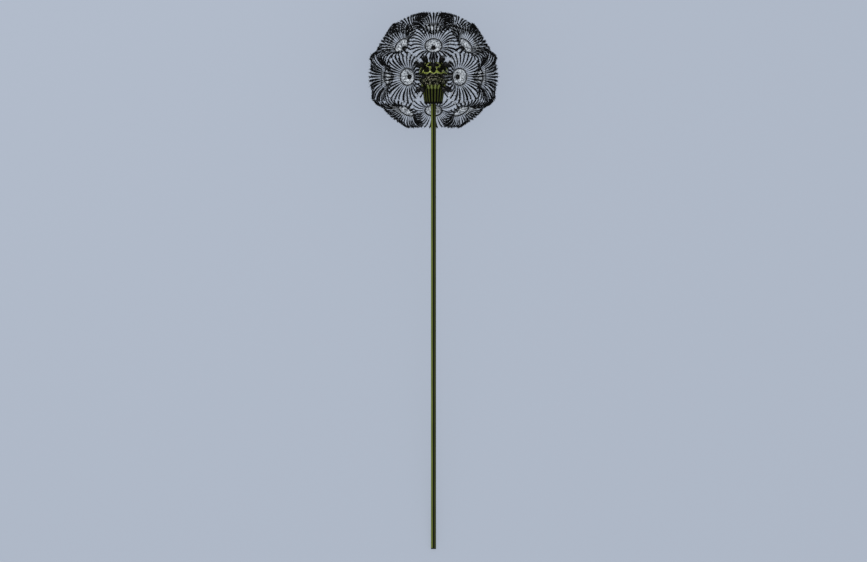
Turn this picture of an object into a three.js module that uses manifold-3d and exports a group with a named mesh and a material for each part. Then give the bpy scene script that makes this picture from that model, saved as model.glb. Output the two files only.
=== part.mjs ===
// A dandelion seed head on its cut stem, laid down on a flat surface.
// Millimetres, +Z up. The stem runs along Y with the head at +Y, and the part rests on the
// bristle tips under its head and on the lower edge of the stem's cut end.
//
// The head is drawn standing, in a head frame: +Z along the stem towards the crown, -Y to the
// front, and the origin at the middle of the round receptacle, which every seed points away from.
// At the end the whole group is laid down, front side up.
import * as THREE from 'three';
import { mergeVertices } from 'three/addons/utils/BufferGeometryUtils.js';
import Module from 'manifold-3d';

const wasm = await Module();
wasm.setup();

// Driving dimensions
const STEM_LENGTH = 184.8; // middle of the receptacle to the cut end
const STEM_RADIUS = 0.98;
const STEM_BORE_RADIUS = 0.5; // the stem is a hollow tube
const NECK_RADIUS = 1.7; // the stem swells to this under the receptacle
const NECK_LENGTH = 4.5; // of the swelling
const RECEPTACLE_RADIUS = 6.05;
const ROUND_SIDES = 24; // of the receptacle and the collar
const STEM_SIDES = 16;
const RECEPTACLE_FLOOR = -4.5; // flat underside of the receptacle, in the head frame
const HEAD_HEIGHT = 24.1; // middle of the receptacle above the surface
const FOOT_FLAT_DEPTH = 0.12; // how deep the cut end's lower edge is flattened
const SURFACE_BLOCK = 20; // stands for the surface while that edge is cut
const CLEARANCE = 0.3; // gap between pieces that sit in or on each other

// Seeds: rings from the crown down to the stem, with angles in degrees, and the first seed of a
// ring at its front. hubDistance is how far from the middle of the receptacle the beak meets the
// bristles, and rise is how far the bristle tips stand above that hub, along the seed's axis.
// lift is how much further out than that the tips nearest the crown stand: those nearest the stem
// stand as much further in. An openFront ring has shed the seed at its front, and the receptacle
// shows through the gap. Each place has its own share of the ball, and so has the stem.
const SEED_RINGS = [
  { name: 'crown', elevation: 90, places: 1, hubDistance: 18.6, rise: 4.9, lift: 0 },
  { name: 'upper', elevation: 61, places: 6, hubDistance: 19.1, rise: 4.4, lift: 0 },
  { name: 'shoulder', elevation: 34, places: 8, hubDistance: 19.2, rise: 4.9, lift: 0 },
  { name: 'middle', elevation: -1, places: 12, hubDistance: 18.4, rise: 5.6, lift: 0, openFront: true },
  { name: 'lower', elevation: -42, places: 8, hubDistance: 18.4, rise: 3.7, lift: 1.5, openFront: true },
];
const BRISTLE_COUNT = 24;
const BRISTLE_REACH = 8.5; // tip to the seed's axis
const LONGEST_REACH = 10.6; // the same where the neighbouring places leave room
const STEM_SHARE = { elevation: -84, places: 8 }; // parts the stem's share as a ring of seeds would
const BRISTLE_THICKNESS = 0.34; // at the root
const HUB_RADIUS = 1.15; // small funnel that the bristles spring from
const HUB_DEPTH = 0.3;
const CELL_MARGIN = 0.15; // a tip stops this far inside its own seed's share of the ball
const BEAK_RADIUS = 0.2;
const BEAK_OVERLAP = 0.1; // how far the beak reaches into the hub
const ACHENE_LENGTH = 3.4;
const ACHENE_RADIUS = 0.95;
const ACHENE_FOOT_RADIUS = 0.35;
const ACHENE_SIDES = 6;
const PIT_DEPTH = 0.5; // each achene's foot stands in a pit of the receptacle
const PIT_RADIUS = 0.6;
const PIT_SIDES = 6;

// Involucre: a collar round the stem's neck, with bracts bent back down round the stem
const COLLAR_TOP = RECEPTACLE_FLOOR - CLEARANCE;
const COLLAR_FLOOR = COLLAR_TOP - 0.8;
const COLLAR_RADIUS = 3.3;
const BRACT_COUNT = 20;
const BRACT_THICKNESS = 0.6;
const BRACT_RIB = 0.15; // how far the midrib stands out
const BRACT_TIP = -10.9;
// The middle of a bract from its root in the collar to its tip, as [radius, height, half width].
const BRACT_LINE = [
  [2.7, COLLAR_TOP - 0.4, 0.38],
  [3.45, COLLAR_TOP - 0.35, 0.46],
  [3.65, COLLAR_TOP - 1.2, 0.5],
  [3.5, -7.6, 0.5],
  [3.25, -9.6, 0.46],
  [3.1, BRACT_TIP + 0.1, 0.36],
];

const COLOURS = { stem: 0x66723a, receptacle: 0x6d7d30, bract: 0x4c5628, seed: 0x2c2a26 };

// ---- laying the head down --------------------------------------------------------------------

// The stem slopes from the head down to where the lower edge of its cut end meets the surface.
const slope =
  Math.asin((HEAD_HEIGHT + FOOT_FLAT_DEPTH) / Math.hypot(STEM_LENGTH, STEM_RADIUS)) -
  Math.atan2(STEM_RADIUS, STEM_LENGTH);
const layDown = new THREE.Matrix4().makeRotationX(slope - Math.PI / 2).setPosition(0, 0, HEAD_HEIGHT);

// ---- helpers ---------------------------------------------------------------------------------

// A closed solid from a geometry: only positions, with shared corners merged.
function solidFrom(geometry) {
  const bare = geometry.clone();
  bare.deleteAttribute('normal');
  bare.deleteAttribute('uv');
  const welded = mergeVertices(bare, 1e-5);
  return new wasm.Manifold(
    new wasm.Mesh({
      numProp: 3,
      vertProperties: new Float32Array(welded.attributes.position.array),
      triVerts: new Uint32Array(welded.index.array),
    }),
  );
}

function geometryFrom(solid) {
  const { vertProperties, triVerts } = solid.getMesh();
  const geometry = new THREE.BufferGeometry();
  geometry.setAttribute('position', new THREE.BufferAttribute(new Float32Array(vertProperties), 3));
  geometry.setIndex(new THREE.BufferAttribute(new Uint32Array(triVerts), 1));
  return geometry;
}

// A solid of revolution about +Z from [radius, height] pairs.
function turned(profile, sides) {
  const points = profile.map(([radius, height]) => new THREE.Vector2(radius, height));
  return new THREE.LatheGeometry(points, sides).rotateX(Math.PI / 2);
}

function namedMesh(name, geometry, colour, roughness = 0.7) {
  const material = new THREE.MeshStandardMaterial({ color: colour, roughness, metalness: 0 });
  const mesh = new THREE.Mesh(geometry, material);
  mesh.name = name;
  return mesh;
}

// ---- seeds: where they stand -----------------------------------------------------------------

// Each seed's own frame has +Z along its axis and +X towards the crown.
function seedFrame(direction) {
  const crown = Math.abs(direction.z) > 0.999 ? new THREE.Vector3(0, 1, 0) : new THREE.Vector3(0, 0, 1);
  const across = new THREE.Vector3().crossVectors(direction, crown).normalize();
  const towardsCrown = new THREE.Vector3().crossVectors(across, direction);
  return new THREE.Matrix4().makeBasis(towardsCrown, across, direction);
}

function ringDirections({ elevation, places }) {
  const up = THREE.MathUtils.degToRad(elevation);
  return Array.from({ length: places }, (_, i) => {
    const turn = (2 * Math.PI * i) / places;
    return new THREE.Vector3(Math.cos(up) * Math.sin(turn), -Math.cos(up) * Math.cos(turn), Math.sin(up));
  });
}

// Every place of the head. A shed one holds no seed.
function seedPlaces() {
  return SEED_RINGS.flatMap((ring) =>
    ringDirections(ring).map((direction, i) => {
      const number = ring.openFront ? i : i + 1;
      return {
        ...ring,
        name: ring.places > 1 ? `seed_${ring.name}_${number}` : `seed_${ring.name}`,
        shed: number === 0,
        direction,
        frame: seedFrame(direction),
      };
    }),
  );
}

// The planes that part a seed's share of the ball from others', in the seed's own frame.
function cellWalls(seed, others) {
  const intoSeedFrame = seed.frame.clone().invert();
  return others
    .filter((other) => other !== seed.direction)
    .map((other) => seed.direction.clone().sub(other).transformDirection(intoSeedFrame));
}

// ---- seeds: one achene with its beak and its bristles -----------------------------------------

function acheneAndBeak(hubDistance) {
  const foot = RECEPTACLE_RADIUS - PIT_DEPTH + CLEARANCE;
  return turned(
    [
      [0, foot],
      [ACHENE_FOOT_RADIUS, foot],
      [0.72 * ACHENE_RADIUS, foot + 0.24 * ACHENE_LENGTH],
      [ACHENE_RADIUS, foot + 0.55 * ACHENE_LENGTH],
      [0.75 * ACHENE_RADIUS, foot + 0.8 * ACHENE_LENGTH],
      [BEAK_RADIUS, foot + ACHENE_LENGTH],
      [BEAK_RADIUS, hubDistance + BEAK_OVERLAP],
      [0, hubDistance + BEAK_OVERLAP],
    ],
    ACHENE_SIDES,
  );
}

// How high above the hub a bristle stands at a distance from the seed's axis.
function bristleRise(seed, reach, angle) {
  return ((seed.rise + seed.lift * Math.cos(angle)) * reach) / BRISTLE_REACH;
}

// How far outward, at a height above the receptacle's middle, the walls leave room for a tip.
function roomWithin(walls, outward, height, most) {
  return walls.reduce((reach, wall) => {
    const approach = -wall.dot(outward);
    return approach > 0 ? Math.min(reach, (wall.z * height - CELL_MARGIN) / approach) : reach;
  }, most);
}

// A bristle's tip. It reaches further where the places round it leave room, and stands steeper, at
// its full height, where it would leave its own seed's cell. A longer one ends on the same ball.
// Where it meets the surface it is bent up, and cut short if that takes it out of its cell.
function bristleTip(root, angle, seed, { walls, placeWalls }) {
  let height = seed.hubDistance + bristleRise(seed, BRISTLE_REACH, angle);
  const outward = new THREE.Vector3(Math.cos(angle), Math.sin(angle), 0);
  const free = Math.max(BRISTLE_REACH, roomWithin(placeWalls, outward, height, LONGEST_REACH));
  const reach = roomWithin(walls, outward, height, free);
  if (reach > BRISTLE_REACH) height = Math.sqrt(height ** 2 + BRISTLE_REACH ** 2 - reach ** 2);
  const toWorld = layDown.clone().multiply(seed.frame);
  const tip = outward.multiplyScalar(reach).setZ(height).applyMatrix4(toWorld);
  tip.z = Math.max(tip.z, 0);
  tip.applyMatrix4(toWorld.invert());
  let share = 1;
  for (const wall of walls) {
    const rootInside = wall.dot(root) - CELL_MARGIN;
    const tipInside = wall.dot(tip) - CELL_MARGIN;
    if (tipInside < 0) share = Math.min(share, rootInside / (rootInside - tipInside));
  }
  return root.clone().lerp(tip, share);
}

// The funnel-shaped hub, with every face of its rim drawn out into a four-sided bristle.
function bristles(seed, cell) {
  const corners = [];
  const triangles = [];
  const step = (2 * Math.PI) / BRISTLE_COUNT;
  const rimHeight = (angle) => seed.hubDistance + bristleRise(seed, HUB_RADIUS, angle);
  const add = (point) => corners.push(point.x, point.y, point.z) / 3 - 1;
  const onRim = (angle, height) =>
    new THREE.Vector3(HUB_RADIUS * Math.cos(angle), HUB_RADIUS * Math.sin(angle), height);
  const top = add(new THREE.Vector3(0, 0, seed.hubDistance + HUB_DEPTH));
  const bottom = add(new THREE.Vector3(0, 0, seed.hubDistance - HUB_DEPTH));
  const rim = [];
  for (let k = 0; k < BRISTLE_COUNT; k++) {
    const angle = (k - 0.5) * step;
    rim.push({
      upper: add(onRim(angle, rimHeight(angle) + BRISTLE_THICKNESS / 2)),
      lower: add(onRim(angle, rimHeight(angle) - BRISTLE_THICKNESS / 2)),
    });
  }
  rim.forEach((left, k) => {
    const right = rim[(k + 1) % BRISTLE_COUNT];
    const root = onRim(k * step, rimHeight(k * step));
    const tip = add(bristleTip(root, k * step, seed, cell));
    triangles.push(left.lower, right.lower, tip, right.lower, right.upper, tip);
    triangles.push(right.upper, left.upper, tip, left.upper, left.lower, tip);
    triangles.push(top, left.upper, right.upper, bottom, right.lower, left.lower);
  });
  const geometry = new THREE.BufferGeometry();
  geometry.setAttribute('position', new THREE.Float32BufferAttribute(corners, 3));
  geometry.setIndex(triangles);
  return geometry;
}

function makeSeed(seed, seeds, places) {
  const around = places.map((place) => place.direction).concat(ringDirections(STEM_SHARE));
  const cell = {
    walls: cellWalls(seed, seeds.map((other) => other.direction)),
    placeWalls: cellWalls(seed, around),
  };
  const umbrella = solidFrom(bristles(seed, cell));
  const solid = solidFrom(acheneAndBeak(seed.hubDistance)).add(umbrella);
  const mesh = namedMesh(seed.name, geometryFrom(solid), COLOURS.seed, 0.6);
  mesh.quaternion.setFromRotationMatrix(seed.frame);
  return mesh;
}

// ---- receptacle: the round green dome, with a pit for each place, also the shed ones -----------

function makeReceptacle(places) {
  const arcSteps = 12;
  const floorAngle = Math.asin(RECEPTACLE_FLOOR / RECEPTACLE_RADIUS);
  const profile = [[0, RECEPTACLE_FLOOR]];
  for (let i = 0; i < arcSteps; i++) {
    const angle = floorAngle + ((Math.PI / 2 - floorAngle) * i) / arcSteps;
    profile.push([RECEPTACLE_RADIUS * Math.cos(angle), RECEPTACLE_RADIUS * Math.sin(angle)]);
  }
  profile.push([0, RECEPTACLE_RADIUS]);
  let solid = solidFrom(turned(profile, ROUND_SIDES));
  for (const place of places) {
    const pit = turned(
      [
        [0, RECEPTACLE_RADIUS - PIT_DEPTH],
        [0.9 * PIT_RADIUS, RECEPTACLE_RADIUS - PIT_DEPTH],
        [PIT_RADIUS, RECEPTACLE_RADIUS + PIT_DEPTH],
        [0, RECEPTACLE_RADIUS + PIT_DEPTH],
      ],
      PIT_SIDES,
    );
    solid = solid.subtract(solidFrom(pit.applyMatrix4(place.frame)));
  }
  return namedMesh('receptacle', geometryFrom(solid), COLOURS.receptacle, 0.35);
}

// ---- involucre: the collar and its bent-back bracts --------------------------------------------

function bractGeometry() {
  const corners = [];
  const triangles = [];
  const ringSize = 5; // left edge and right edge on both faces, and a raised midrib outside
  BRACT_LINE.forEach(([radius, height, halfWidth], i) => {
    const [beforeRadius, beforeHeight] = BRACT_LINE[Math.max(i - 1, 0)];
    const [afterRadius, afterHeight] = BRACT_LINE[Math.min(i + 1, BRACT_LINE.length - 1)];
    const run = new THREE.Vector2(afterRadius - beforeRadius, afterHeight - beforeHeight).normalize();
    const outward = new THREE.Vector2(-run.y, run.x); // away from the stem
    const half = BRACT_THICKNESS / 2;
    const at = (offset, side) =>
      corners.push(radius + outward.x * offset, side * halfWidth, height + outward.y * offset);
    at(-half, -1);
    at(-half, 1);
    at(half, 1);
    at(half + BRACT_RIB, 0);
    at(half, -1);
  });
  for (let i = 0; i + 1 < BRACT_LINE.length; i++) {
    for (let j = 0; j < ringSize; j++) {
      const a = i * ringSize + j;
      const b = i * ringSize + ((j + 1) % ringSize);
      triangles.push(a, b, a + ringSize, b, b + ringSize, a + ringSize);
    }
  }
  const last = (BRACT_LINE.length - 1) * ringSize;
  for (let j = 1; j + 1 < ringSize; j++) {
    triangles.push(0, j + 1, j);
    triangles.push(last, last + j, last + j + 1);
  }
  const geometry = new THREE.BufferGeometry();
  geometry.setAttribute('position', new THREE.Float32BufferAttribute(corners, 3));
  geometry.setIndex(triangles);
  return geometry;
}

function makeInvolucre() {
  const bore = NECK_RADIUS + CLEARANCE;
  const collar = turned(
    [
      [bore, COLLAR_FLOOR],
      [COLLAR_RADIUS, COLLAR_FLOOR],
      [COLLAR_RADIUS, COLLAR_TOP],
      [bore, COLLAR_TOP],
      [bore, COLLAR_FLOOR],
    ],
    ROUND_SIDES,
  );
  let solid = solidFrom(collar);
  for (let i = 0; i < BRACT_COUNT; i++) {
    const bract = bractGeometry().rotateZ(((i + 0.5) * 2 * Math.PI) / BRACT_COUNT);
    solid = solid.add(solidFrom(bract));
  }
  return namedMesh('involucre', geometryFrom(solid), COLOURS.bract);
}

// ---- stem: a hollow tube that swells under the receptacle --------------------------------------

function makeStem() {
  const foot = -STEM_LENGTH;
  const neckFull = COLLAR_FLOOR - CLEARANCE;
  const neckStart = neckFull - NECK_LENGTH;
  const tube = turned(
    [
      [0, neckStart],
      [STEM_BORE_RADIUS, neckStart - STEM_BORE_RADIUS],
      [STEM_BORE_RADIUS, foot],
      [STEM_RADIUS, foot],
      [STEM_RADIUS, neckStart],
      [NECK_RADIUS, neckFull],
      [NECK_RADIUS, COLLAR_TOP],
      [0, COLLAR_TOP],
    ],
    STEM_SIDES,
  );
  const surface = new THREE.BoxGeometry(SURFACE_BLOCK, SURFACE_BLOCK, SURFACE_BLOCK)
    .translate(0, -STEM_LENGTH * Math.cos(slope), -SURFACE_BLOCK / 2)
    .applyMatrix4(layDown.clone().invert());
  return namedMesh('stem', geometryFrom(solidFrom(tube).subtract(solidFrom(surface))), COLOURS.stem);
}

// ---- the whole part, laid down with its box centred over the origin ----------------------------

const places = seedPlaces();
const seeds = places.filter((place) => !place.shed);
const dandelion = new THREE.Group();
dandelion.name = 'dandelion_seed_head';
dandelion.add(makeStem(), makeReceptacle(places), makeInvolucre());
for (const seed of seeds) dandelion.add(makeSeed(seed, seeds, places));
dandelion.rotation.x = slope - Math.PI / 2;
dandelion.position.z = HEAD_HEIGHT;
dandelion.updateMatrixWorld(true);
const middle = new THREE.Box3().setFromObject(dandelion, true).getCenter(new THREE.Vector3());
dandelion.position.x -= middle.x;
dandelion.position.y -= middle.y;
dandelion.updateMatrixWorld(true);

export default dandelion;
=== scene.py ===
import math
import random

import bpy
from mathutils import Matrix, Vector


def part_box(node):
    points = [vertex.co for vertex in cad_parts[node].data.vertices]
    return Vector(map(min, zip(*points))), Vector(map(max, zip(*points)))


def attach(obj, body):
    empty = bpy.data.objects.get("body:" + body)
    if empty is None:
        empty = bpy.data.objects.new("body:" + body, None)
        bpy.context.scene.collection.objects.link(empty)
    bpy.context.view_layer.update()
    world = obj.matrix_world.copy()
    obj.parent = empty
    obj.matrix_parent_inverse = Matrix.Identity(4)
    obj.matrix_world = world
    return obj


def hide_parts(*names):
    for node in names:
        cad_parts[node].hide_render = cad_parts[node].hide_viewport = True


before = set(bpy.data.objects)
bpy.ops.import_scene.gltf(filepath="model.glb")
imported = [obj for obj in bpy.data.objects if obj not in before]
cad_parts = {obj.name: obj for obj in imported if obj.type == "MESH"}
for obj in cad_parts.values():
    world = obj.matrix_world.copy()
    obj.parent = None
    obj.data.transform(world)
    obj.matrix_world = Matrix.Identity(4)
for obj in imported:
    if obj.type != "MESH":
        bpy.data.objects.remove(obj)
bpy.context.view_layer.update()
print("frame loaded:", len(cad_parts), "nodes")

# Lengths in the dictionaries are millimetres and angles are degrees; meshes are in metres.
mm = 0.001

# where the head stands, with the frame's own figures

layout = {
    "stemLength": 184.8,  # middle of the receptacle to the cut end
    "stemRadius": 0.98,
    "headHeight": 24.1,  # middle of the receptacle above the floor
    "footFlat": 0.12,  # depth of the flattened edge of the cut end
    "receptacleRadius": 6.05,
    "receptacleFloor": -4.5,  # its flat underside, from its middle
    "rings": [  # name, elevation, places, hub's distance, tips above the hub, lift towards the crown
        ("crown", 90, 1, 18.6, 4.9, 0),
        ("upper", 61, 6, 19.1, 4.4, 0),
        ("shoulder", 34, 8, 19.2, 4.9, 0),
        ("middle", -1, 12, 18.4, 5.6, 0),
        ("lower", -42, 8, 18.4, 3.7, 1.5),
    ],
    "openFront": ("middle", "lower"),  # rings that have shed the seed at their front
    "stemShare": (-84, 8),  # the ball round the stem stays free, as a ring of places here would keep it
}

slope = math.asin(
    (layout["headHeight"] + layout["footFlat"]) / math.hypot(layout["stemLength"], layout["stemRadius"])
) - math.atan2(layout["stemRadius"], layout["stemLength"])
headMiddle = Vector((
    0,
    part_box("stem")[0].y
    + (layout["stemLength"] * math.cos(slope) + layout["stemRadius"] * math.sin(slope)) * mm,
    layout["headHeight"] * mm,
))
headToWorld = Matrix.Translation(headMiddle) @ Matrix.Rotation(slope - math.pi / 2, 4, "X")
alongStem = (headToWorld.to_3x3() @ Vector((0, 0, 1))).normalized()
towardsViewer = (headToWorld.to_3x3() @ Vector((0, -1, 0))).normalized()


def seedDirection(elevation, turn):
    e, t = math.radians(elevation), math.radians(turn)
    return Vector((math.cos(e) * math.sin(t), -math.cos(e) * math.cos(t), math.sin(e)))


def seedMatrix(direction):
    # a seed's own axes: +Z away from the receptacle, +X towards the crown
    alongAxis = abs(direction.z) > 0.999
    crown = Vector((0, 1, 0)) if alongAxis else Vector((0, 0, 1))
    across = direction.cross(crown).normalized()
    up = across.cross(direction)
    return headToWorld @ Matrix((up, across, direction)).transposed().to_4x4()


def listSeeds():
    # the directions of every place of the head, and the seeds that are still there
    places, seeds = [], []
    for name, elevation, count, hub, rise, lift in layout["rings"]:
        shed = 1 if name in layout["openFront"] else 0
        for i in range(count):
            direction = seedDirection(elevation, 360 * i / count)
            places.append(direction)
            if i >= shed:
                node = f"seed_{name}_{i + 1 - shed}" if count > 1 else f"seed_{name}"
                seeds.append({"node": node, "direction": direction, "hub": hub, "rise": rise, "lift": lift})
    elevation, count = layout["stemShare"]
    around = places + [seedDirection(elevation, 360 * i / count) for i in range(count)]
    for seed in seeds:
        # its neighbours, in its own axes
        turn = (headToWorld.inverted() @ seedMatrix(seed["direction"])).to_3x3().transposed()
        seed["others"] = [turn @ other for other in around if other != seed["direction"]]
    return places, seeds


def newShape():
    # mark is a number on each point that the materials read, such as how far out or how deep it lies
    return {"points": [], "faces": [], "finishes": [], "marks": []}


def addRings(shape, rings, marks, finish, closed=True):
    # rings of points with equal counts, joined by quads and closed by a face at each end
    base = len(shape["points"])
    count = len(rings[0])
    for ring, mark in zip(rings, marks):
        shape["points"] += ring
        shape["marks"] += mark if isinstance(mark, list) else [mark] * count
    faces = []
    for i in range(len(rings) - 1):
        for j in range(count):
            a = base + i * count + j
            b = base + i * count + (j + 1) % count
            faces.append((a, b, b + count, a + count))
    if closed:
        faces.append(tuple(base + j for j in reversed(range(count))))
        faces.append(tuple(base + (len(rings) - 1) * count + j for j in range(count)))
    shape["faces"] += faces
    shape["finishes"] += [finish] * len(faces)


def addTube(shape, path, side, radii, marks, finish, sides=4):
    # path in metres; side is a direction across the whole path
    rings = []
    for i, point in enumerate(path):
        along = (path[min(i + 1, len(path) - 1)] - path[max(i - 1, 0)]).normalized()
        normal = along.cross(side).normalized()
        across = normal.cross(along)
        ring = []
        for k in range(sides):
            angle = 2 * math.pi * k / sides
            ring.append(point + radii[i] * mm * (math.cos(angle) * across + math.sin(angle) * normal))
        rings.append(ring)
    addRings(shape, rings, marks, finish)


def addSpike(shape, root, direction, length, width, mark, finish):
    across = direction.orthogonal().normalized()
    other = direction.cross(across)
    base = len(shape["points"])
    for k in range(3):
        angle = 2 * math.pi * k / 3
        shape["points"].append(root + width * mm / 2 * (math.cos(angle) * across + math.sin(angle) * other))
    shape["points"].append(root + direction * length * mm)
    shape["marks"] += [mark] * 4
    faces = [(0, 1, 3), (1, 2, 3), (2, 0, 3), (2, 1, 0)]
    shape["faces"] += [tuple(base + i for i in face) for face in faces]
    shape["finishes"] += [finish] * len(faces)


def makePiece(name, shape, materials, nodes):
    mesh = bpy.data.meshes.new(name)
    mesh.from_pydata(shape["points"], [], shape["faces"])
    for material in materials:
        mesh.materials.append(material)
    mesh.polygons.foreach_set("material_index", shape["finishes"])
    mesh.attributes.new("mark", "FLOAT", "POINT").data.foreach_set("value", shape["marks"])
    mesh.shade_smooth()
    mesh.validate()
    piece = bpy.data.objects.new(name, mesh)
    bpy.context.scene.collection.objects.link(piece)
    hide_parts(*nodes)
    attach(piece, "root")


def newGroup(name, inputs, outputs):
    group = bpy.data.node_groups.new(name, "ShaderNodeTree")
    for label, kind, value in inputs:
        socket = group.interface.new_socket(label, in_out="INPUT", socket_type=kind)
        socket.default_value = value
    for label, kind in outputs:
        group.interface.new_socket(label, in_out="OUTPUT", socket_type=kind)
    return group, group.nodes.new("NodeGroupInput"), group.nodes.new("NodeGroupOutput")


def feed(tree, socket, value):
    # a link where the value is another node's output
    if isinstance(value, bpy.types.NodeSocket):
        tree.links.new(value, socket)
    else:
        socket.default_value = value


def mixColours(tree, factor, first, second, mode="MIX"):
    node = tree.nodes.new("ShaderNodeMix")
    node.data_type = "RGBA"
    node.blend_type = mode
    for label, value in (("Factor", factor), ("A", first), ("B", second)):
        feed(tree, node.inputs[label], value)
    return node.outputs["Result"]


def buildMottle():
    # uneven plant colour: broad patches and a fine grain that also serves as a bump height
    grainShare = 0.5
    middle = 0.5 * (1 + grainShare)  # of the sum, as each noise lies round a half
    group, given, out = newGroup(
        "plantMottle",
        [
            ("Light", "NodeSocketColor", (1, 1, 1, 1)),
            ("Dark", "NodeSocketColor", (0, 0, 0, 1)),
            ("Patch Scale", "NodeSocketFloat", 300.0),
            ("Grain Scale", "NodeSocketFloat", 2500.0),
            ("Stretch", "NodeSocketVector", (1, 1, 1)),
            ("Spread", "NodeSocketFloat", 0.3),
        ],
        [("Color", "NodeSocketColor"), ("Height", "NodeSocketFloat")],
    )
    link = group.links.new
    place = group.nodes.new("ShaderNodeTexCoord")
    stretch = group.nodes.new("ShaderNodeVectorMath")
    stretch.operation = "MULTIPLY"
    link(place.outputs["Object"], stretch.inputs[0])
    link(given.outputs["Stretch"], stretch.inputs[1])
    patch = group.nodes.new("ShaderNodeTexNoise")
    grain = group.nodes.new("ShaderNodeTexNoise")
    for noise, scale in ((patch, "Patch Scale"), (grain, "Grain Scale")):
        link(stretch.outputs[0], noise.inputs["Vector"])
        link(given.outputs[scale], noise.inputs["Scale"])
    both = group.nodes.new("ShaderNodeMath")
    both.operation = "MULTIPLY_ADD"
    link(grain.outputs["Fac"], both.inputs[0])
    both.inputs[1].default_value = grainShare
    link(patch.outputs["Fac"], both.inputs[2])
    # Spread is how far from the middle the colours are reached
    ramp = group.nodes.new("ShaderNodeMapRange")
    for operation, end in (("SUBTRACT", "From Min"), ("ADD", "From Max")):
        limit = group.nodes.new("ShaderNodeMath")
        limit.operation = operation
        limit.inputs[0].default_value = middle
        link(given.outputs["Spread"], limit.inputs[1])
        link(limit.outputs[0], ramp.inputs[end])
    link(both.outputs[0], ramp.inputs["Value"])
    colour = mixColours(group, ramp.outputs[0], given.outputs["Dark"], given.outputs["Light"])
    link(colour, out.inputs["Color"])
    link(grain.outputs["Fac"], out.inputs["Height"])
    return group


def buildFade():
    # one colour below a mark, another above it
    group, given, out = newGroup(
        "markFade",
        [
            ("Mark", "NodeSocketFloat", 0.0),
            ("Below", "NodeSocketColor", (1, 1, 1, 1)),
            ("Above", "NodeSocketColor", (0, 0, 0, 1)),
            ("Start", "NodeSocketFloat", 0.4),
            ("End", "NodeSocketFloat", 0.5),
        ],
        [("Color", "NodeSocketColor"), ("Mask", "NodeSocketFloat")],
    )
    link = group.links.new
    ramp = group.nodes.new("ShaderNodeMapRange")
    ramp.interpolation_type = "SMOOTHSTEP"
    link(given.outputs["Mark"], ramp.inputs["Value"])
    link(given.outputs["Start"], ramp.inputs["From Min"])
    link(given.outputs["End"], ramp.inputs["From Max"])
    colour = mixColours(group, ramp.outputs[0], given.outputs["Below"], given.outputs["Above"])
    link(colour, out.inputs["Color"])
    link(ramp.outputs[0], out.inputs["Mask"])
    return group


plantMottle = buildMottle()
markFade = buildFade()
print("node groups ready")


def newMaterial(name, roughness, specular, coatRoughness=0.2):
    material = bpy.data.materials.new(name)
    material.use_nodes = True
    shader = material.node_tree.nodes["Principled BSDF"]
    shader.inputs["Roughness"].default_value = roughness
    shader.inputs["Specular IOR Level"].default_value = specular
    shader.inputs["Coat Roughness"].default_value = coatRoughness
    return material, material.node_tree, shader


def placeGroup(tree, group, values):
    node = tree.nodes.new("ShaderNodeGroup")
    node.node_tree = group
    for label, value in values.items():
        feed(tree, node.inputs[label], value)
    return node


def readMark(tree):
    node = tree.nodes.new("ShaderNodeAttribute")
    node.attribute_name = "mark"
    return node.outputs["Fac"]


def addBump(tree, shader, height, distance):
    bump = tree.nodes.new("ShaderNodeBump")
    bump.inputs["Distance"].default_value = distance * mm
    tree.links.new(height, bump.inputs["Height"])
    tree.links.new(bump.outputs["Normal"], shader.inputs["Normal"])


finishes = {
    "stemLight": (0.165, 0.2, 0.03, 1),
    "stemDark": (0.108, 0.134, 0.02, 1),
    "stemPaintedShade": (0.32, 0.32, 0.36, 1),  # painted shade: what the stem's right side keeps of that, darker as if lit from the left
    # near-black: painted shade in the stem's furrow and bore and in the receptacle's pits and underside,
    # and the dried edge of the cut end
    "driedEdgeAndPaintedShade": (0.0025, 0.003, 0.001, 1),
    "cutEnd": (0.17, 0.13, 0.06, 1),  # the browned cut face
    "domeLight": (0.4, 0.48, 0.07, 1),
    "domeDark": (0.2, 0.26, 0.03, 1),
    "fleck": (0.5, 0.48, 0.35, 1),
    "bractLight": (0.13, 0.16, 0.026, 1),
    "bractDark": (0.055, 0.068, 0.01, 1),
    # painted shade at the edges of the bracts, between the blades
    "bractEdgeShade": (0.002, 0.002, 0.001, 1),
    "bractPaintedLight": (0.26, 0.32, 0.1, 1),  # painted highlight: pale where it grows from the receptacle, as if light caught its shoulder
    "acheneLight": (0.009, 0.0085, 0.008, 1),
    "acheneDark": (0.0015, 0.0015, 0.0015, 1),
    "bristleDark": (0.001, 0.001, 0.0012, 1),
    "bristleGrey": (0.003, 0.003, 0.0035, 1),
    "silver": (0.9, 0.95, 1.0, 1),
    "silverShade": (0.15, 0.165, 0.19, 1),
    "paleHair": (0.72, 0.78, 0.86, 1),
    "paleHairShade": (0.3, 0.34, 0.4, 1),
}


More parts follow.
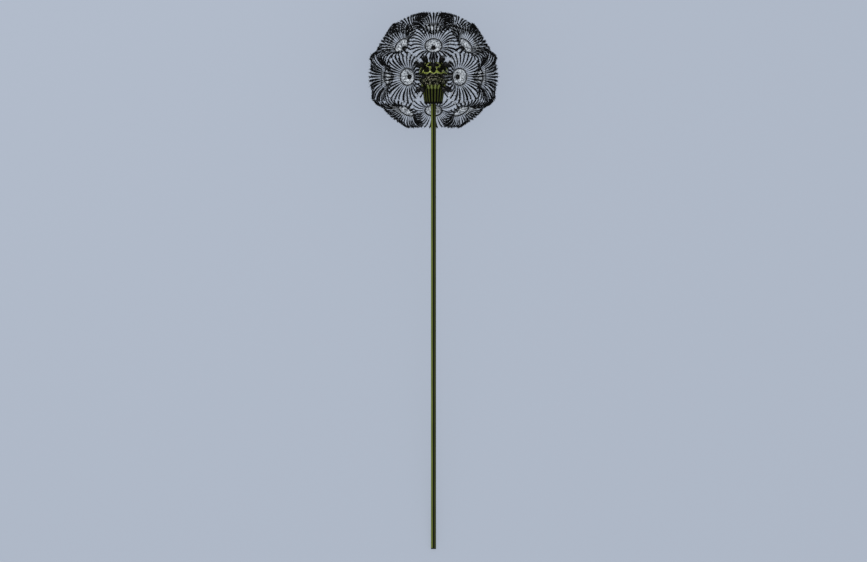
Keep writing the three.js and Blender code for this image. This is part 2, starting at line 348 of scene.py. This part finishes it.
def stemMaterial():
    material, tree, shader = newMaterial("waxyStem", 0.5, 0.12)
    skin = placeGroup(tree, plantMottle, {
        "Light": finishes["stemLight"],
        "Dark": finishes["stemDark"],
        "Patch Scale": 700.0,
        "Grain Scale": 3000.0,
        "Stretch": (1, 0.06, 1),
    })
    # painted shade: the right side of the stem is darkened, as if the light came from the left
    place = tree.nodes.new("ShaderNodeTexCoord")
    split = tree.nodes.new("ShaderNodeSeparateXYZ")
    tree.links.new(place.outputs["Object"], split.inputs[0])
    paintedRightShade = mixColours(tree, 1.0, skin.outputs["Color"], finishes["stemPaintedShade"], "MULTIPLY")
    sides = placeGroup(tree, markFade, {
        "Mark": split.outputs["X"],
        "Below": skin.outputs["Color"],
        "Above": paintedRightShade,
        "Start": -0.3 * mm,
        "End": 0.3 * mm,
    })
    # painted shade: the furrow along the stem is coloured near-black
    dark = placeGroup(tree, markFade, {
        "Mark": readMark(tree),
        "Below": sides.outputs["Color"],
        "Above": finishes["driedEdgeAndPaintedShade"],
        "Start": 0.25,
        "End": 0.5,
    })
    cut = placeGroup(tree, markFade, {
        "Mark": readMark(tree),
        "Below": dark.outputs["Color"],
        "Above": finishes["cutEnd"],
        "Start": 1.2,
        "End": 1.6,
    })
    tree.links.new(cut.outputs["Color"], shader.inputs["Base Color"])
    addBump(tree, shader, skin.outputs["Height"], 0.04)
    return material


def domeMaterial():
    polished, dried = 0.22, 0.9  # roughness of the web and of the pits
    material, tree, shader = newMaterial("glossyDome", polished, 0.15, 0.12)
    shader.inputs["Coat IOR"].default_value = 1.7
    skin = placeGroup(tree, plantMottle, {
        "Light": finishes["domeLight"],
        "Dark": finishes["domeDark"],
        "Patch Scale": 260.0,
        "Grain Scale": 2200.0,
    })
    # pits are painted black as shade in the hollows, with dry flecks in those of the underside
    flecks = placeGroup(tree, markFade, {
        "Mark": skin.outputs["Height"],
        "Below": finishes["driedEdgeAndPaintedShade"],
        "Above": finishes["fleck"],
        "Start": 0.57,
        "End": 0.64,
    })
    bottoms = placeGroup(tree, markFade, {
        "Mark": readMark(tree),
        "Below": flecks.outputs["Color"],
        "Above": finishes["driedEdgeAndPaintedShade"],
        "Start": 0.8,
        "End": 0.95,
    })
    pits = placeGroup(tree, markFade, {
        "Mark": readMark(tree),
        "Below": skin.outputs["Color"],
        "Above": bottoms.outputs["Color"],
        "Start": 0.1,
        "End": 0.5,
    })
    tree.links.new(pits.outputs["Color"], shader.inputs["Base Color"])
    gloss = placeGroup(tree, markFade, {
        "Mark": readMark(tree),
        "Below": (1, 1, 1, 1),
        "Above": (0, 0, 0, 1),
        "Start": 0.15,
        "End": 0.6,
    })
    tree.links.new(gloss.outputs["Color"], shader.inputs["Coat Weight"])
    dull = tree.nodes.new("ShaderNodeMapRange")
    dull.inputs["To Min"].default_value = polished
    dull.inputs["To Max"].default_value = dried
    tree.links.new(gloss.outputs["Mask"], dull.inputs["Value"])
    tree.links.new(dull.outputs[0], shader.inputs["Roughness"])
    addBump(tree, shader, skin.outputs["Height"], 0.012)
    return material


def bractMaterial():
    material, tree, shader = newMaterial("dullBract", 0.5, 0.12)
    skin = placeGroup(tree, plantMottle, {
        "Light": finishes["bractLight"],
        "Dark": finishes["bractDark"],
        "Patch Scale": 500.0,
        "Grain Scale": 2600.0,
        "Stretch": (1, 0.15, 1),
    })
    # painted highlight: the part of a bract that climbs the receptacle's flank is made pale
    base = placeGroup(tree, markFade, {
        "Mark": readMark(tree),
        "Below": finishes["bractPaintedLight"],
        "Above": skin.outputs["Color"],
        "Start": -0.5,
        "End": -0.1,
    })
    # painted shade: each blade turns near-black towards its edges, where it meets its neighbours
    paintedEdgeShade = placeGroup(tree, markFade, {
        "Mark": readMark(tree),
        "Below": base.outputs["Color"],
        "Above": finishes["bractEdgeShade"],
        "Start": 0.16,
        "End": 0.38,
    })
    tree.links.new(paintedEdgeShade.outputs["Color"], shader.inputs["Base Color"])
    addBump(tree, shader, skin.outputs["Height"], 0.04)
    return material


def acheneMaterial():
    material, tree, shader = newMaterial("ribbedAchene", 0.3, 0.3)
    skin = placeGroup(tree, plantMottle, {
        "Light": finishes["acheneLight"],
        "Dark": finishes["acheneDark"],
        "Patch Scale": 900.0,
        "Grain Scale": 3500.0,
    })
    tree.links.new(skin.outputs["Color"], shader.inputs["Base Color"])
    addBump(tree, shader, skin.outputs["Height"], 0.05)
    return material


def bristleMaterial():
    # dark at the root, silvery up to the ring and charcoal from there outwards
    material, tree, shader = newMaterial("barbedBristle", 0.6, 0.08)
    dark = placeGroup(tree, plantMottle, {
        "Light": finishes["bristleGrey"],
        "Dark": finishes["bristleDark"],
        "Patch Scale": 600.0,
        "Grain Scale": 3000.0,
    })
    bright = placeGroup(tree, plantMottle, {
        "Light": finishes["silver"],
        "Dark": finishes["silverShade"],
        "Patch Scale": 1400.0,
        "Grain Scale": 2600.0,
        "Spread": 0.1,
    })
    fade = placeGroup(tree, markFade, {
        "Mark": readMark(tree),
        "Below": bright.outputs["Color"],
        "Above": dark.outputs["Color"],
        "Start": 0.4,
        "End": 0.43,
    })
    root = placeGroup(tree, markFade, {
        "Mark": readMark(tree),
        "Below": finishes["bristleDark"],
        "Above": fade.outputs["Color"],
        "Start": 0.1,
        "End": 0.15,
    })
    tree.links.new(root.outputs["Color"], shader.inputs["Base Color"])
    return material


def hairMaterial():
    # dark at the root, mottled silver in the funnel and a more even grey outside the ring
    material, tree, shader = newMaterial("silverHair", 0.5, 0.2)
    skin = placeGroup(tree, plantMottle, {
        "Light": finishes["silver"],
        "Dark": finishes["silverShade"],
        "Patch Scale": 1400.0,
        "Grain Scale": 2600.0,
        "Spread": 0.1,
    })
    outer = placeGroup(tree, plantMottle, {
        "Light": finishes["paleHair"],
        "Dark": finishes["paleHairShade"],
        "Patch Scale": 1400.0,
        "Grain Scale": 2600.0,
        "Spread": 0.12,
    })
    fade = placeGroup(tree, markFade, {
        "Mark": readMark(tree),
        "Below": skin.outputs["Color"],
        "Above": outer.outputs["Color"],
        "Start": 0.38,
        "End": 0.44,
    })
    root = placeGroup(tree, markFade, {
        "Mark": readMark(tree),
        "Below": finishes["bristleDark"],
        "Above": fade.outputs["Color"],
        "Start": 0.1,
        "End": 0.15,
    })
    tree.links.new(root.outputs["Color"], shader.inputs["Base Color"])
    return material


acheneFinish, bristleFinish, hairFinish = 0, 1, 2  # places in the list of a seed's materials

acheneSize = {
    "foot": 5.85,  # middle of the receptacle to the achene's foot
    "length": 3.4,
    "radius": 1.0,
    "ribs": 9,
    "sidesPerRib": 3,
    "ribDepth": 0.1,  # share of the radius
    "profile": [  # height and width, as shares of the length and the radius
        (0, 0.3), (0.1, 0.55), (0.3, 0.84), (0.55, 1), (0.72, 0.94), (0.84, 0.66), (0.93, 0.36), (1, 0.17),
    ],
    "spikeRows": [(0.62, 0.96), (0.7, 0.92), (0.78, 0.8)],  # the same shares
    "spikeLength": 0.62,
    "spikeWidth": 0.24,
    "spikeLift": 1.1,  # how far a spike runs along the achene for each unit outwards
    "beakRadius": 0.2,
    "beakShape": (1.3, 1, 0.9, 0.9, 1.6),  # shares of that radius, from the achene to the cup
    "beakStart": 0.97,  # share of the achene's length
    "beakEnd": 0.2,  # above the root of the bristles
    "beakSides": 6,
    "beakMark": 0.3,  # as silvery as the hairs inside the ring
    "cup": [(-0.4, 0.2), (-0.1, 0.5), (0.2, 0.75), (0.42, 0.8), (0.36, 0.5)],  # height and radius
    "cupSides": 12,
}

pappus = {
    "bristles": 32,
    "reach": 8.5,  # tip to the seed's axis
    "longReach": 10.6,  # the same where the neighbours leave room
    "drop": 0.3,  # root of the bristles below the frame's hub
    "ring": 3.3,  # where the bristles turn dark and barbed
    "ringRise": 2.3,  # ring above the root
    "ringRadius": 0.3,
    "ringKnots": 0.25,  # how far each bristle's knot swells the ring
    "ringSteps": 128,
    "ringSides": 5,
    "bendRound": 0.3,  # how gently a bristle turns at the ring, in square millimetres
    "arch": 1.2,  # how far a bristle bulges outwards between the ring and its tip
    "root": 0.25,  # where bristles and hairs start, from the seed's axis
    "innerSteps": (0.5, 0.97),  # a bristle's points, as shares of the ring's reach
    "outerSteps": (0.08, 0.16, 0.3, 0.45, 0.6, 0.75, 0.88, 1),  # and of the way on to its tip
    "innerRadius": 0.08,
    "neckRadius": 0.12,  # just outside the ring
    "widening": 0.9,  # share of outerRadius just past the neck
    "outerRadius": 0.27,
    "tipRadius": 0.21,
    "barbStart": 1.35,  # share of the ring's reach
    "barbEnd": 0.98,  # share of the bristle's reach
    "barbSpacing": 0.26,
    "barbTurn": 137.5,  # from one barb to the next, round the bristle
    "barbAhead": 0.2,  # the bristle's direction at a barb is taken over this length
    "barbLength": (0.5, 1.15),  # at the ring and at the tip
    "barbWidth": 0.32,
    "barbLean": 44,
    "fineHairs": 1,  # pale hairs between two bristles
    "fineRadius": 0.07,
    "fineTip": 0.5,  # share of that radius at a hair's tip
    "fineSteps": (0.35, 0.7, 1),  # a hair's points, as shares of its reach
    "fineReach": (0.86, 1.04),
    "funnelHairs": 2,  # more pale hairs between those, inside the ring only
    "funnelReach": (0.85, 0.97),  # share of the ring's reach
    "lengthSpread": (-0.09, 0.05),  # share of the reach
    "turnSpread": 1.6,
}


def freeReach(seed, angle):
    # how far a bristle can reach before it meets the share of the ball that a neighbour fills
    p = pappus
    height = seed["hub"] + seed["rise"]
    reach = p["longReach"]
    for other in seed["others"]:
        towards = other.x * math.cos(angle) + other.y * math.sin(angle)
        if towards > 0:
            reach = min(reach, height * (1 - other.z) / towards)
    return max(reach, p["reach"])


def pappusHeight(reach, angle, seed, tip):
    # straight from the root to the ring, then in an outward arch to the tip, which is on the ball
    p = pappus
    full = seed["hub"] + seed["rise"]
    rise = math.sqrt(full * full + p["reach"] ** 2 - tip * tip) - seed["hub"]
    inner = p["ringRise"] / p["ring"]
    outer = (rise + p["drop"] - p["ringRise"]) / (tip - p["ring"])
    beyond = reach - p["ring"]
    bend = (math.sqrt(beyond * beyond + p["bendRound"]) + beyond) / 2
    share = max(0, beyond / (tip - p["ring"]))
    arch = p["arch"] * 4 * share * max(0, 1 - share)
    askew = seed["lift"] * math.cos(angle) * reach / p["reach"]
    return seed["hub"] - p["drop"] + inner * (reach - bend) + outer * bend + arch + askew


def bristlePath(matrix, seed, angle, reaches, radii, tip):
    # points of a bristle, bent up where they would sink into the floor
    path = []
    for reach, radius in zip(reaches, radii):
        height = pappusHeight(reach, angle, seed, tip)
        spot = Vector((reach * math.cos(angle), reach * math.sin(angle), height))
        point = matrix @ (spot * mm)
        point.z = max(point.z, radius * mm)
        path.append(point)
    return path


def addAchene(shape, matrix, seed):
    a = acheneSize
    sides = a["ribs"] * a["sidesPerRib"]
    rings = []
    for height, width in a["profile"]:
        ring = []
        for k in range(sides):
            angle = 2 * math.pi * k / sides
            radius = a["radius"] * width * (1 + a["ribDepth"] * math.cos(a["ribs"] * angle))
            z = a["foot"] + a["length"] * height
            ring.append(matrix @ (Vector((radius * math.cos(angle), radius * math.sin(angle), z)) * mm))
        rings.append(ring)
    addRings(shape, rings, [0.0] * len(rings), acheneFinish)
    axis = (matrix.to_3x3() @ Vector((0, 0, 1))).normalized()
    for height, width in a["spikeRows"]:
        for k in range(a["ribs"]):
            angle = 2 * math.pi * k / a["ribs"]
            outward = matrix.to_3x3() @ Vector((math.cos(angle), math.sin(angle), 0))
            root = matrix @ (Vector((0, 0, a["foot"] + a["length"] * height)) * mm)
            root += outward * a["radius"] * width * mm
            way = (outward + a["spikeLift"] * axis).normalized()
            addSpike(shape, root, way, a["spikeLength"], a["spikeWidth"], 0.0, acheneFinish)
    # beak, from the achene's top to the hub
    top = seed["hub"] - pappus["drop"]
    start, end = a["foot"] + a["length"] * a["beakStart"], top + a["beakEnd"]
    count = len(a["beakShape"])
    heights = [start + (end - start) * i / (count - 1) for i in range(count)]
    path = [matrix @ (Vector((0, 0, height)) * mm) for height in heights]
    radii = [a["beakRadius"] * share for share in a["beakShape"]]
    side = matrix.to_3x3() @ Vector((1, 0, 0))
    addTube(shape, path, side, radii, [a["beakMark"]] * count, hairFinish, a["beakSides"])
    # small dark cup that the bristles spring from
    rings = []
    for height, radius in a["cup"]:
        rings.append([
            matrix @ (Vector((
                radius * math.cos(2 * math.pi * k / a["cupSides"]),
                radius * math.sin(2 * math.pi * k / a["cupSides"]),
                top + height,
            )) * mm)
            for k in range(a["cupSides"])
        ])
    addRings(shape, rings, [0.0] * len(rings), acheneFinish)


def addDiscRing(shape, matrix, seed):
    # the knots at the foot of the barbed part touch and make one fine dark ring
    p = pappus
    steps = p["ringSteps"]
    rings = []
    for k in range(steps + 1):
        angle = 2 * math.pi * k / steps
        middle = bristlePath(matrix, seed, angle, [p["ring"]], [p["ringRadius"]], p["reach"])[0]
        outward = matrix.to_3x3() @ Vector((math.cos(angle), math.sin(angle), 0))
        upward = matrix.to_3x3() @ Vector((0, 0, 1))
        swell = p["ringRadius"] * (1 + p["ringKnots"] * math.cos(p["bristles"] * angle))
        rings.append([
            middle + swell * mm * (math.cos(t) * outward + math.sin(t) * upward)
            for t in (2 * math.pi * i / p["ringSides"] for i in range(p["ringSides"]))
        ])
    addRings(shape, rings, [1.0] * len(rings), bristleFinish, closed=False)


def addBristle(shape, matrix, seed, angle, reach, draw):
    p = pappus
    share = min(1, reach / p["reach"])
    ring = p["ring"]
    outwards = [ring + (reach - ring) * t for t in p["outerSteps"]]
    reaches = [p["root"]] + [ring * t for t in p["innerSteps"]] + outwards
    inner, neck, outer = p["innerRadius"], p["neckRadius"], p["outerRadius"]
    radii = [inner] * 3 + [neck, neck, outer * p["widening"]] + [outer] * 4 + [p["tipRadius"]]
    marks = [r / p["reach"] for r in reaches]
    side = matrix.to_3x3() @ Vector((-math.sin(angle), math.cos(angle), 0))
    path = bristlePath(matrix, seed, angle, reaches, radii, reach)
    addTube(shape, path, side, radii, marks, bristleFinish)
    # barbs, in a spiral round the outer part
    first = ring * p["barbStart"]
    count = int((reach - first) / p["barbSpacing"])
    lean = math.radians(p["barbLean"])
    shortest, longest = p["barbLength"]
    for i in range(count):
        t = (i + 0.5) / count
        at = first + (reach * p["barbEnd"] - first) * t
        spots = [at, at + p["barbAhead"]]
        root, ahead = bristlePath(matrix, seed, angle, spots, [p["tipRadius"]] * 2, reach)
        along = (ahead - root).normalized()
        normal = along.cross(side).normalized()
        turn = math.radians(p["barbTurn"] * i + draw)
        outward = side * math.cos(turn) + normal * math.sin(turn)
        direction = (along * math.cos(lean) + outward * math.sin(lean)).normalized()
        length = shortest + (longest - shortest) * t
        if (root + direction * length * mm).z > 0:
            addSpike(shape, root, direction, length * share, p["barbWidth"], 1.0, bristleFinish)


def addHair(shape, matrix, seed, angle, reach):
    p = pappus
    reaches = [p["root"]] + [reach * t for t in p["fineSteps"]]
    radii = [p["fineRadius"]] * 3 + [p["fineRadius"] * p["fineTip"]]
    marks = [r / p["reach"] for r in reaches]
    side = matrix.to_3x3() @ Vector((-math.sin(angle), math.cos(angle), 0))
    path = bristlePath(matrix, seed, angle, reaches, radii, max(reach, p["reach"]))
    addTube(shape, path, side, radii, marks, hairFinish, sides=3)


def makeSeed(seed, materials, rng):
    p = pappus
    shape = newShape()
    matrix = seedMatrix(seed["direction"])
    addAchene(shape, matrix, seed)
    addDiscRing(shape, matrix, seed)
    step = 2 * math.pi / p["bristles"]
    for k in range(p["bristles"]):
        angle = k * step + math.radians(rng.uniform(-1, 1) * p["turnSpread"])
        reach = freeReach(seed, angle) * (1 + rng.uniform(*p["lengthSpread"]))
        addBristle(shape, matrix, seed, angle, reach, rng.uniform(0, 360))
        for i in range(p["fineHairs"]):
            angle = (k + (i + 1) / (p["fineHairs"] + 1)) * step
            reach = freeReach(seed, angle) * rng.uniform(*p["fineReach"])
            addHair(shape, matrix, seed, angle, reach)
        for i in range(p["funnelHairs"]):
            angle = (k + (i + 0.5) / p["funnelHairs"]) * step
            addHair(shape, matrix, seed, angle, p["ring"] * rng.uniform(*p["funnelReach"]))
    makePiece(seed["node"].replace("seed", "parachute"), shape, materials, [seed["node"]])


dome = {
    "levels": 6,
    "rows": [  # elevation, pits in the row, and the first one's place from the front, in steps
        (75, 5, 0.5), (50, 9, 0.5), (25, 12, 0), (0, 12, 0.5), (-25, 12, 0), (-47, 9, 0.5),
    ],
    "pitRadius": (1.32, 1.48),
    "pitWave": 0.09,  # how uneven a rim is, as a share of its radius
    "pitWaves": 3,
    "pitSight": 0.9,  # cosine of an angle beyond which no pit reaches, to pass over those further off
    "pitDepth": 0.45,
    "seatRadius": 1.1,
    "seatDepth": 0.5,
    "pitSlope": 0.3,  # share of the radius over which the wall of a pit falls
    "shadeStart": 0.2,  # share of the radius above the middle where the underside's painted shade begins
    "shadeEnd": -0.1,
    "shade": 0.42,  # mark of the web there, which paints shade on it
    "fleckShade": 0.3,  # how much lower the mark of a pit is there
}


def makeReceptacle(places, material, rng):
    radius, floor = layout["receptacleRadius"], layout["receptacleFloor"]
    bpy.ops.mesh.primitive_ico_sphere_add(subdivisions=dome["levels"], radius=1)
    ball = bpy.context.object
    directions = [v.co.normalized() for v in ball.data.vertices]
    faces = [tuple(p.vertices) for p in ball.data.polygons]
    bpy.data.objects.remove(ball)
    # rows of wide uneven pits with a thin web between them, and a deeper seat at each place
    hollows = [(place, dome["seatRadius"], dome["seatDepth"], 0) for place in places]
    for elevation, count, first in dome["rows"]:
        for i in range(count):
            axis = seedDirection(elevation, 360 * (i + first) / count)
            wide = rng.uniform(*dome["pitRadius"])
            wave = rng.uniform(0, 2 * math.pi)
            hollows.append((axis, wide, dome["pitDepth"], wave))
    shape = newShape()
    for direction in directions:
        depth = 0.0
        mark = 0.0
        for axis, wide, deep, wave in hollows:
            cosine = direction.dot(axis)
            if cosine > dome["pitSight"]:
                across = axis.orthogonal()
                around = math.atan2(direction.dot(axis.cross(across)), direction.dot(across))
                rim = wide * (1 + dome["pitWave"] * math.cos(dome["pitWaves"] * around + wave))
                away = math.acos(min(cosine, 1)) * radius / rim
                if away < 1:
                    fall = min(1, (1 - away) / dome["pitSlope"])
                    bowl = fall * fall * (3 - 2 * fall)
                    depth = max(depth, deep * bowl)
                    mark = max(mark, bowl)
        # the underside is dull, and darkened with painted shade
        under = max(0, min(1, (dome["shadeStart"] - direction.z) / (dome["shadeStart"] - dome["shadeEnd"])))
        mark = min(max(mark, dome["shade"] * under), 1 - dome["fleckShade"] * under)
        point = direction * (radius - depth)
        if point.z < floor:
            point *= floor / point.z
        shape["points"].append(headToWorld @ (point * mm))
        shape["marks"].append(mark)
    shape["faces"] = faces
    shape["finishes"] = [0] * len(faces)
    makePiece("receptacleDome", shape, [material], ["receptacle"])


bract = {
    "count": 20,
    "line": [  # radius, height and half width of its middle, from the root to the tip
        (3.98, -5.2, 0.6), (3.88, -6.3, 0.61), (3.72, -7.6, 0.59), (3.55, -8.7, 0.57),
        (3.4, -9.7, 0.55), (3.3, -10.5, 0.5), (3.26, -10.9, 0.4),
    ],
    # above that a bract climbs the receptacle's flank, or starts in the collar where a seed stands
    "base": [(5.02, -3.45, 0.3), (4.86, -3.8, 0.5), (4.5, -4.3, 0.56), (4.15, -4.72, 0.58)],
    "root": [(2.6, -5.1, 0.4), (3.2, -4.72, 0.46), (3.75, -4.68, 0.54)],
    "basePaintedLight": 0.75,  # painted highlight: taken from the mark there
    "tipDark": 0.4,  # added to the mark at the tip
    "tipRows": 2,  # last rows of the line that are this dark
    "seedRoom": 15,  # degrees to either side of a seed of the lowest ring
    "sway": 0.05,  # how far a tip may lean to either side
    "thickness": 0.3,
    "edgeShare": 0.25,  # of the thickness, at a blade's edges
    "ribHeight": 0.16,
    "ribWidth": 0.25,  # share of half the blade's width
    "cup": 0.16,  # how far the edges bend towards the stem
    "acrossSteps": 6,
}
collar = {
    "inner": 2.05,
    "outer": 3.8,
    "top": -4.6,
    "bottom": -5.6,
    "round": 0.15,
    "sides": 48,
    "mark": 0.6,  # painted shade under the receptacle, as dark as the edges of the bracts
}


def seedAbove(turn):
    # whether a bract at this turn, in degrees from the front, hangs under a seed of the lowest ring
    count = layout["rings"][-1][2]
    place = round(turn * count / 360)
    return place % count > 0 and abs(turn - place * 360 / count) < bract["seedRoom"]


def addBract(shape, degrees, rng):
    # a closed blade: outer face from edge to edge, then the inner face back
    b = bract
    spin = Matrix.Rotation(math.radians(degrees - 90), 4, "Z")  # a blade is drawn towards +X
    steps = b["acrossSteps"]
    thin = b["edgeShare"]
    sway = rng.uniform(-b["sway"], b["sway"])
    rings, marks = [], []
    top = b["root"] if seedAbove(degrees) else b["base"]
    line = top + b["line"]
    for i, (radius, height, halfWidth) in enumerate(line):
        before, after = line[max(i - 1, 0)], line[min(i + 1, len(line) - 1)]
        run = Vector((after[0] - before[0], after[1] - before[1])).normalized()
        outward = Vector((-run.y, run.x))
        drift = sway * (i / (len(line) - 1)) ** 2
        shift = -b["basePaintedLight"] if i < len(b["base"]) and top is b["base"] else 0
        if i >= len(line) - b["tipRows"]:
            shift = b["tipDark"]
        ring, ringMarks = [], []
        for face in (1, -1):
            for k in range(steps + 1):
                across = (k / steps * 2 - 1) * face
                rib = b["ribHeight"] * max(0, 1 - abs(across) / b["ribWidth"]) if face > 0 else 0
                inwards = 1 - across * across
                half = face * b["thickness"] / 2 * (thin + (1 - thin) * inwards)
                offset = half + rib - b["cup"] * across * across
                x = radius + outward.x * offset
                z = height + outward.y * offset
                point = spin @ Vector((x, across * halfWidth + drift, z))
                ring.append(headToWorld @ (point * mm))
                ringMarks.append(abs(across) + shift)
        rings.append(ring)
        marks.append(ringMarks)
    addRings(shape, rings, marks, 0)


def makeInvolucre(material, rng):
    shape = newShape()
    c = collar
    profile = [  # radius and height, round the collar's section
        (c["inner"], c["bottom"]),
        (c["outer"] - c["round"], c["bottom"]),
        (c["outer"], c["bottom"] + c["round"]),
        (c["outer"], c["top"] - c["round"]),
        (c["outer"] - c["round"], c["top"]),
        (c["inner"], c["top"]),
    ]
    rings = []
    for k in range(c["sides"] + 1):
        angle = 2 * math.pi * k / c["sides"]
        rings.append([
            headToWorld @ (Vector((r * math.cos(angle), r * math.sin(angle), z)) * mm) for r, z in profile
        ])
    addRings(shape, rings, [c["mark"]] * len(rings), 0, closed=False)
    for i in range(bract["count"]):
        addBract(shape, (i + 0.5) * 360 / bract["count"], rng)
    makePiece("bractRing", shape, [material], ["involucre"])


stalk = {
    "sides": 48,
    "rings": 60,
    "neckRings": 8,
    "endSteps": (0, 0.08, 0.3, 0.5, 0.8),  # the first rings of points, above the cut face
    "bore": 0.5,
    "boreDepth": 12.0,
    "boreTip": 0.05,  # radius at the end of the bore
    "boreTaper": 0.6,  # length over which it narrows to that
    "darkMark": 0.6,  # as dark as the furrow: painted shade in the bore, and the dried edge of the cut end
    "cutMark": 2.0,  # the browned cut face
    "rimEdge": 0.05,  # width of the dark edge round the bore
    "rimShare": 0.88,  # share of the wall's radius where the cut face's dark outer edge begins
    "ribs": 12,
    "ribDepth": 0.02,
    "furrowWidth": 52,  # degrees
    "furrowDepth": 0.3,
    "driedEnd": 0.5,  # length of the dark dried edge of the cut end
    "neckTop": -4.85,
    "neckStart": -10.4,
    "neckWide": -5.9,  # where the neck has its full radius
    "neckRadius": 1.7,
}


def makeStem(material):
    s = stalk
    shape = newShape()
    foot = -layout["stemLength"]
    heights = [foot + step for step in s["endSteps"]]
    long = s["neckStart"] - heights[-1]
    heights += [heights[-1] + long * (i + 1) / s["rings"] for i in range(s["rings"])]
    neck, count = s["neckTop"] - s["neckStart"], s["neckRings"]
    heights += [s["neckStart"] + neck * (i + 1) / count for i in range(count)]

    def wall(height):
        t = max(0, min(1, (height - s["neckStart"]) / (s["neckWide"] - s["neckStart"])))
        return layout["stemRadius"] + (s["neckRadius"] - layout["stemRadius"]) * t * t * (3 - 2 * t)

    def place(radius, angle, height):
        # angle 0 faces the viewer
        point = headToWorld @ (Vector((radius * math.sin(angle), -radius * math.cos(angle), height)) * mm)
        point.z = max(point.z, 0)
        return point

    def ringAt(height, share=1):
        # points round the stem, or round a share of its radius
        ring, marks = [], []
        for k in range(s["sides"]):
            angle = 2 * math.pi * k / s["sides"]
            off = math.degrees(min(angle, 2 * math.pi - angle))
            groove = max(0, 1 - (off / (s["furrowWidth"] / 2)) ** 2)
            ribs = 1 + s["ribDepth"] * math.cos(s["ribs"] * angle)
            radius = wall(height) * ribs - s["furrowDepth"] * groove
            ring.append(place(radius * share, angle, height))
            marks.append(groove)
        return ring, marks

    rings, marks = [], []
    # the bore, from its end out to the cut face, then the outside up to the neck
    inside = [
        (s["boreTip"], foot + s["boreDepth"], s["darkMark"]),
        (s["bore"], foot + s["boreDepth"] - s["boreTaper"], s["darkMark"]),
        (s["bore"], foot, s["darkMark"]),
        (s["bore"] + s["rimEdge"], foot, s["cutMark"]),
    ]
    for radius, height, mark in inside:
        rings.append([place(radius, 2 * math.pi * k / s["sides"], height) for k in range(s["sides"])])
        marks.append(mark)
    rings.append(ringAt(foot, s["rimShare"])[0])
    marks.append(s["cutMark"])
    for height in heights:
        ring, ringMarks = ringAt(height)
        if height < foot + s["driedEnd"]:
            ringMarks = [max(mark, s["darkMark"]) for mark in ringMarks]
        rings.append(ring)
        marks.append(ringMarks)
    addRings(shape, rings, marks, 0)
    makePiece("stalk", shape, [material], ["stem"])


studio = {
    "pixelSize": 50 / 128,  # one pixel of an 867 pixel wide picture
    "pixelsAcross": 867,
    "middleBelowHead": 80.1,  # middle of the picture, below the middle of the receptacle
    "distance": 600,
    "floorSize": 4000,
    "floorColour": (0.15, 0.168, 0.2, 1),
    "floorGlow": 1.95,  # light that the floor gives off itself, which keeps shadows on it faint
    "lightDistance": 900,
    "keyDirection": (-0.47, 0.64, 0.62),  # right, along the stem, towards the viewer
    "keySize": 260,
    "keyPower": 3.2,
    "keyShadow": False,  # with a shadow the parachutes would keep part of it off the receptacle
    "fillDirection": (0.3, -0.5, 0.8),
    "fillSize": 1500,
    "fillPower": 1.4,
    "sky": (0.96, 0.98, 1.0, 1),
    "skyStrength": 0.62,
}


def makeFloor():
    half = studio["floorSize"] / 2 * mm
    mesh = bpy.data.meshes.new("floor")
    corners = [(-half, -half, 0), (half, -half, 0), (half, half, 0), (-half, half, 0)]
    mesh.from_pydata(corners, [], [(0, 1, 2, 3)])
    material, _, shader = newMaterial("paleFloor", 0.9, 0.1)
    shader.inputs["Base Color"].default_value = studio["floorColour"]
    shader.inputs["Emission Color"].default_value = studio["floorColour"]
    shader.inputs["Emission Strength"].default_value = studio["floorGlow"]
    mesh.materials.append(material)
    floor = bpy.data.objects.new("floor", mesh)
    bpy.context.scene.collection.objects.link(floor)


def addLight(name, direction, size, power, shadow=True):
    right = Vector((1, 0, 0))
    way = (direction[0] * right + direction[1] * alongStem + direction[2] * towardsViewer).normalized()
    data = bpy.data.lights.new(name, "AREA")
    data.shape = "DISK"
    data.size = size * mm
    data.energy = power
    data.use_shadow = shadow
    lamp = bpy.data.objects.new(name, data)
    lamp.location = headMiddle + way * studio["lightDistance"] * mm
    lamp.rotation_euler = way.to_track_quat("Z", "Y").to_euler()
    bpy.context.scene.collection.objects.link(lamp)


def addCamera():
    data = bpy.data.cameras.new("viewer")
    data.type = "ORTHO"
    data.ortho_scale = studio["pixelsAcross"] * studio["pixelSize"] * mm
    camera = bpy.data.objects.new("viewer", data)
    target = headMiddle - alongStem * studio["middleBelowHead"] * mm
    turn = Matrix((Vector((1, 0, 0)), alongStem, towardsViewer)).transposed().to_4x4()
    camera.matrix_world = Matrix.Translation(target + towardsViewer * studio["distance"] * mm) @ turn
    bpy.context.scene.collection.objects.link(camera)
    bpy.context.scene.camera = camera


def makeStudio():
    s = studio
    makeFloor()
    addLight("key", s["keyDirection"], s["keySize"], s["keyPower"], s["keyShadow"])
    addLight("fill", s["fillDirection"], s["fillSize"], s["fillPower"])
    world = bpy.data.worlds.new("softRoom")
    world.use_nodes = True
    background = world.node_tree.nodes["Background"]
    background.inputs["Color"].default_value = s["sky"]
    background.inputs["Strength"].default_value = s["skyStrength"]
    bpy.context.scene.world = world
    bpy.context.scene.view_settings.view_transform = "Standard"
    addCamera()


rng = random.Random(7)  # the same draws each run
places, seeds = listSeeds()
makeStudio()
print("studio ready")
makeStem(stemMaterial())
makeReceptacle(places, domeMaterial(), rng)
makeInvolucre(bractMaterial(), rng)
print("stem, receptacle and bracts ready")
seedMaterials = [acheneMaterial(), bristleMaterial(), hairMaterial()]
for seed in seeds:
    makeSeed(seed, seedMaterials, rng)
print("seeds ready:", len(seeds))
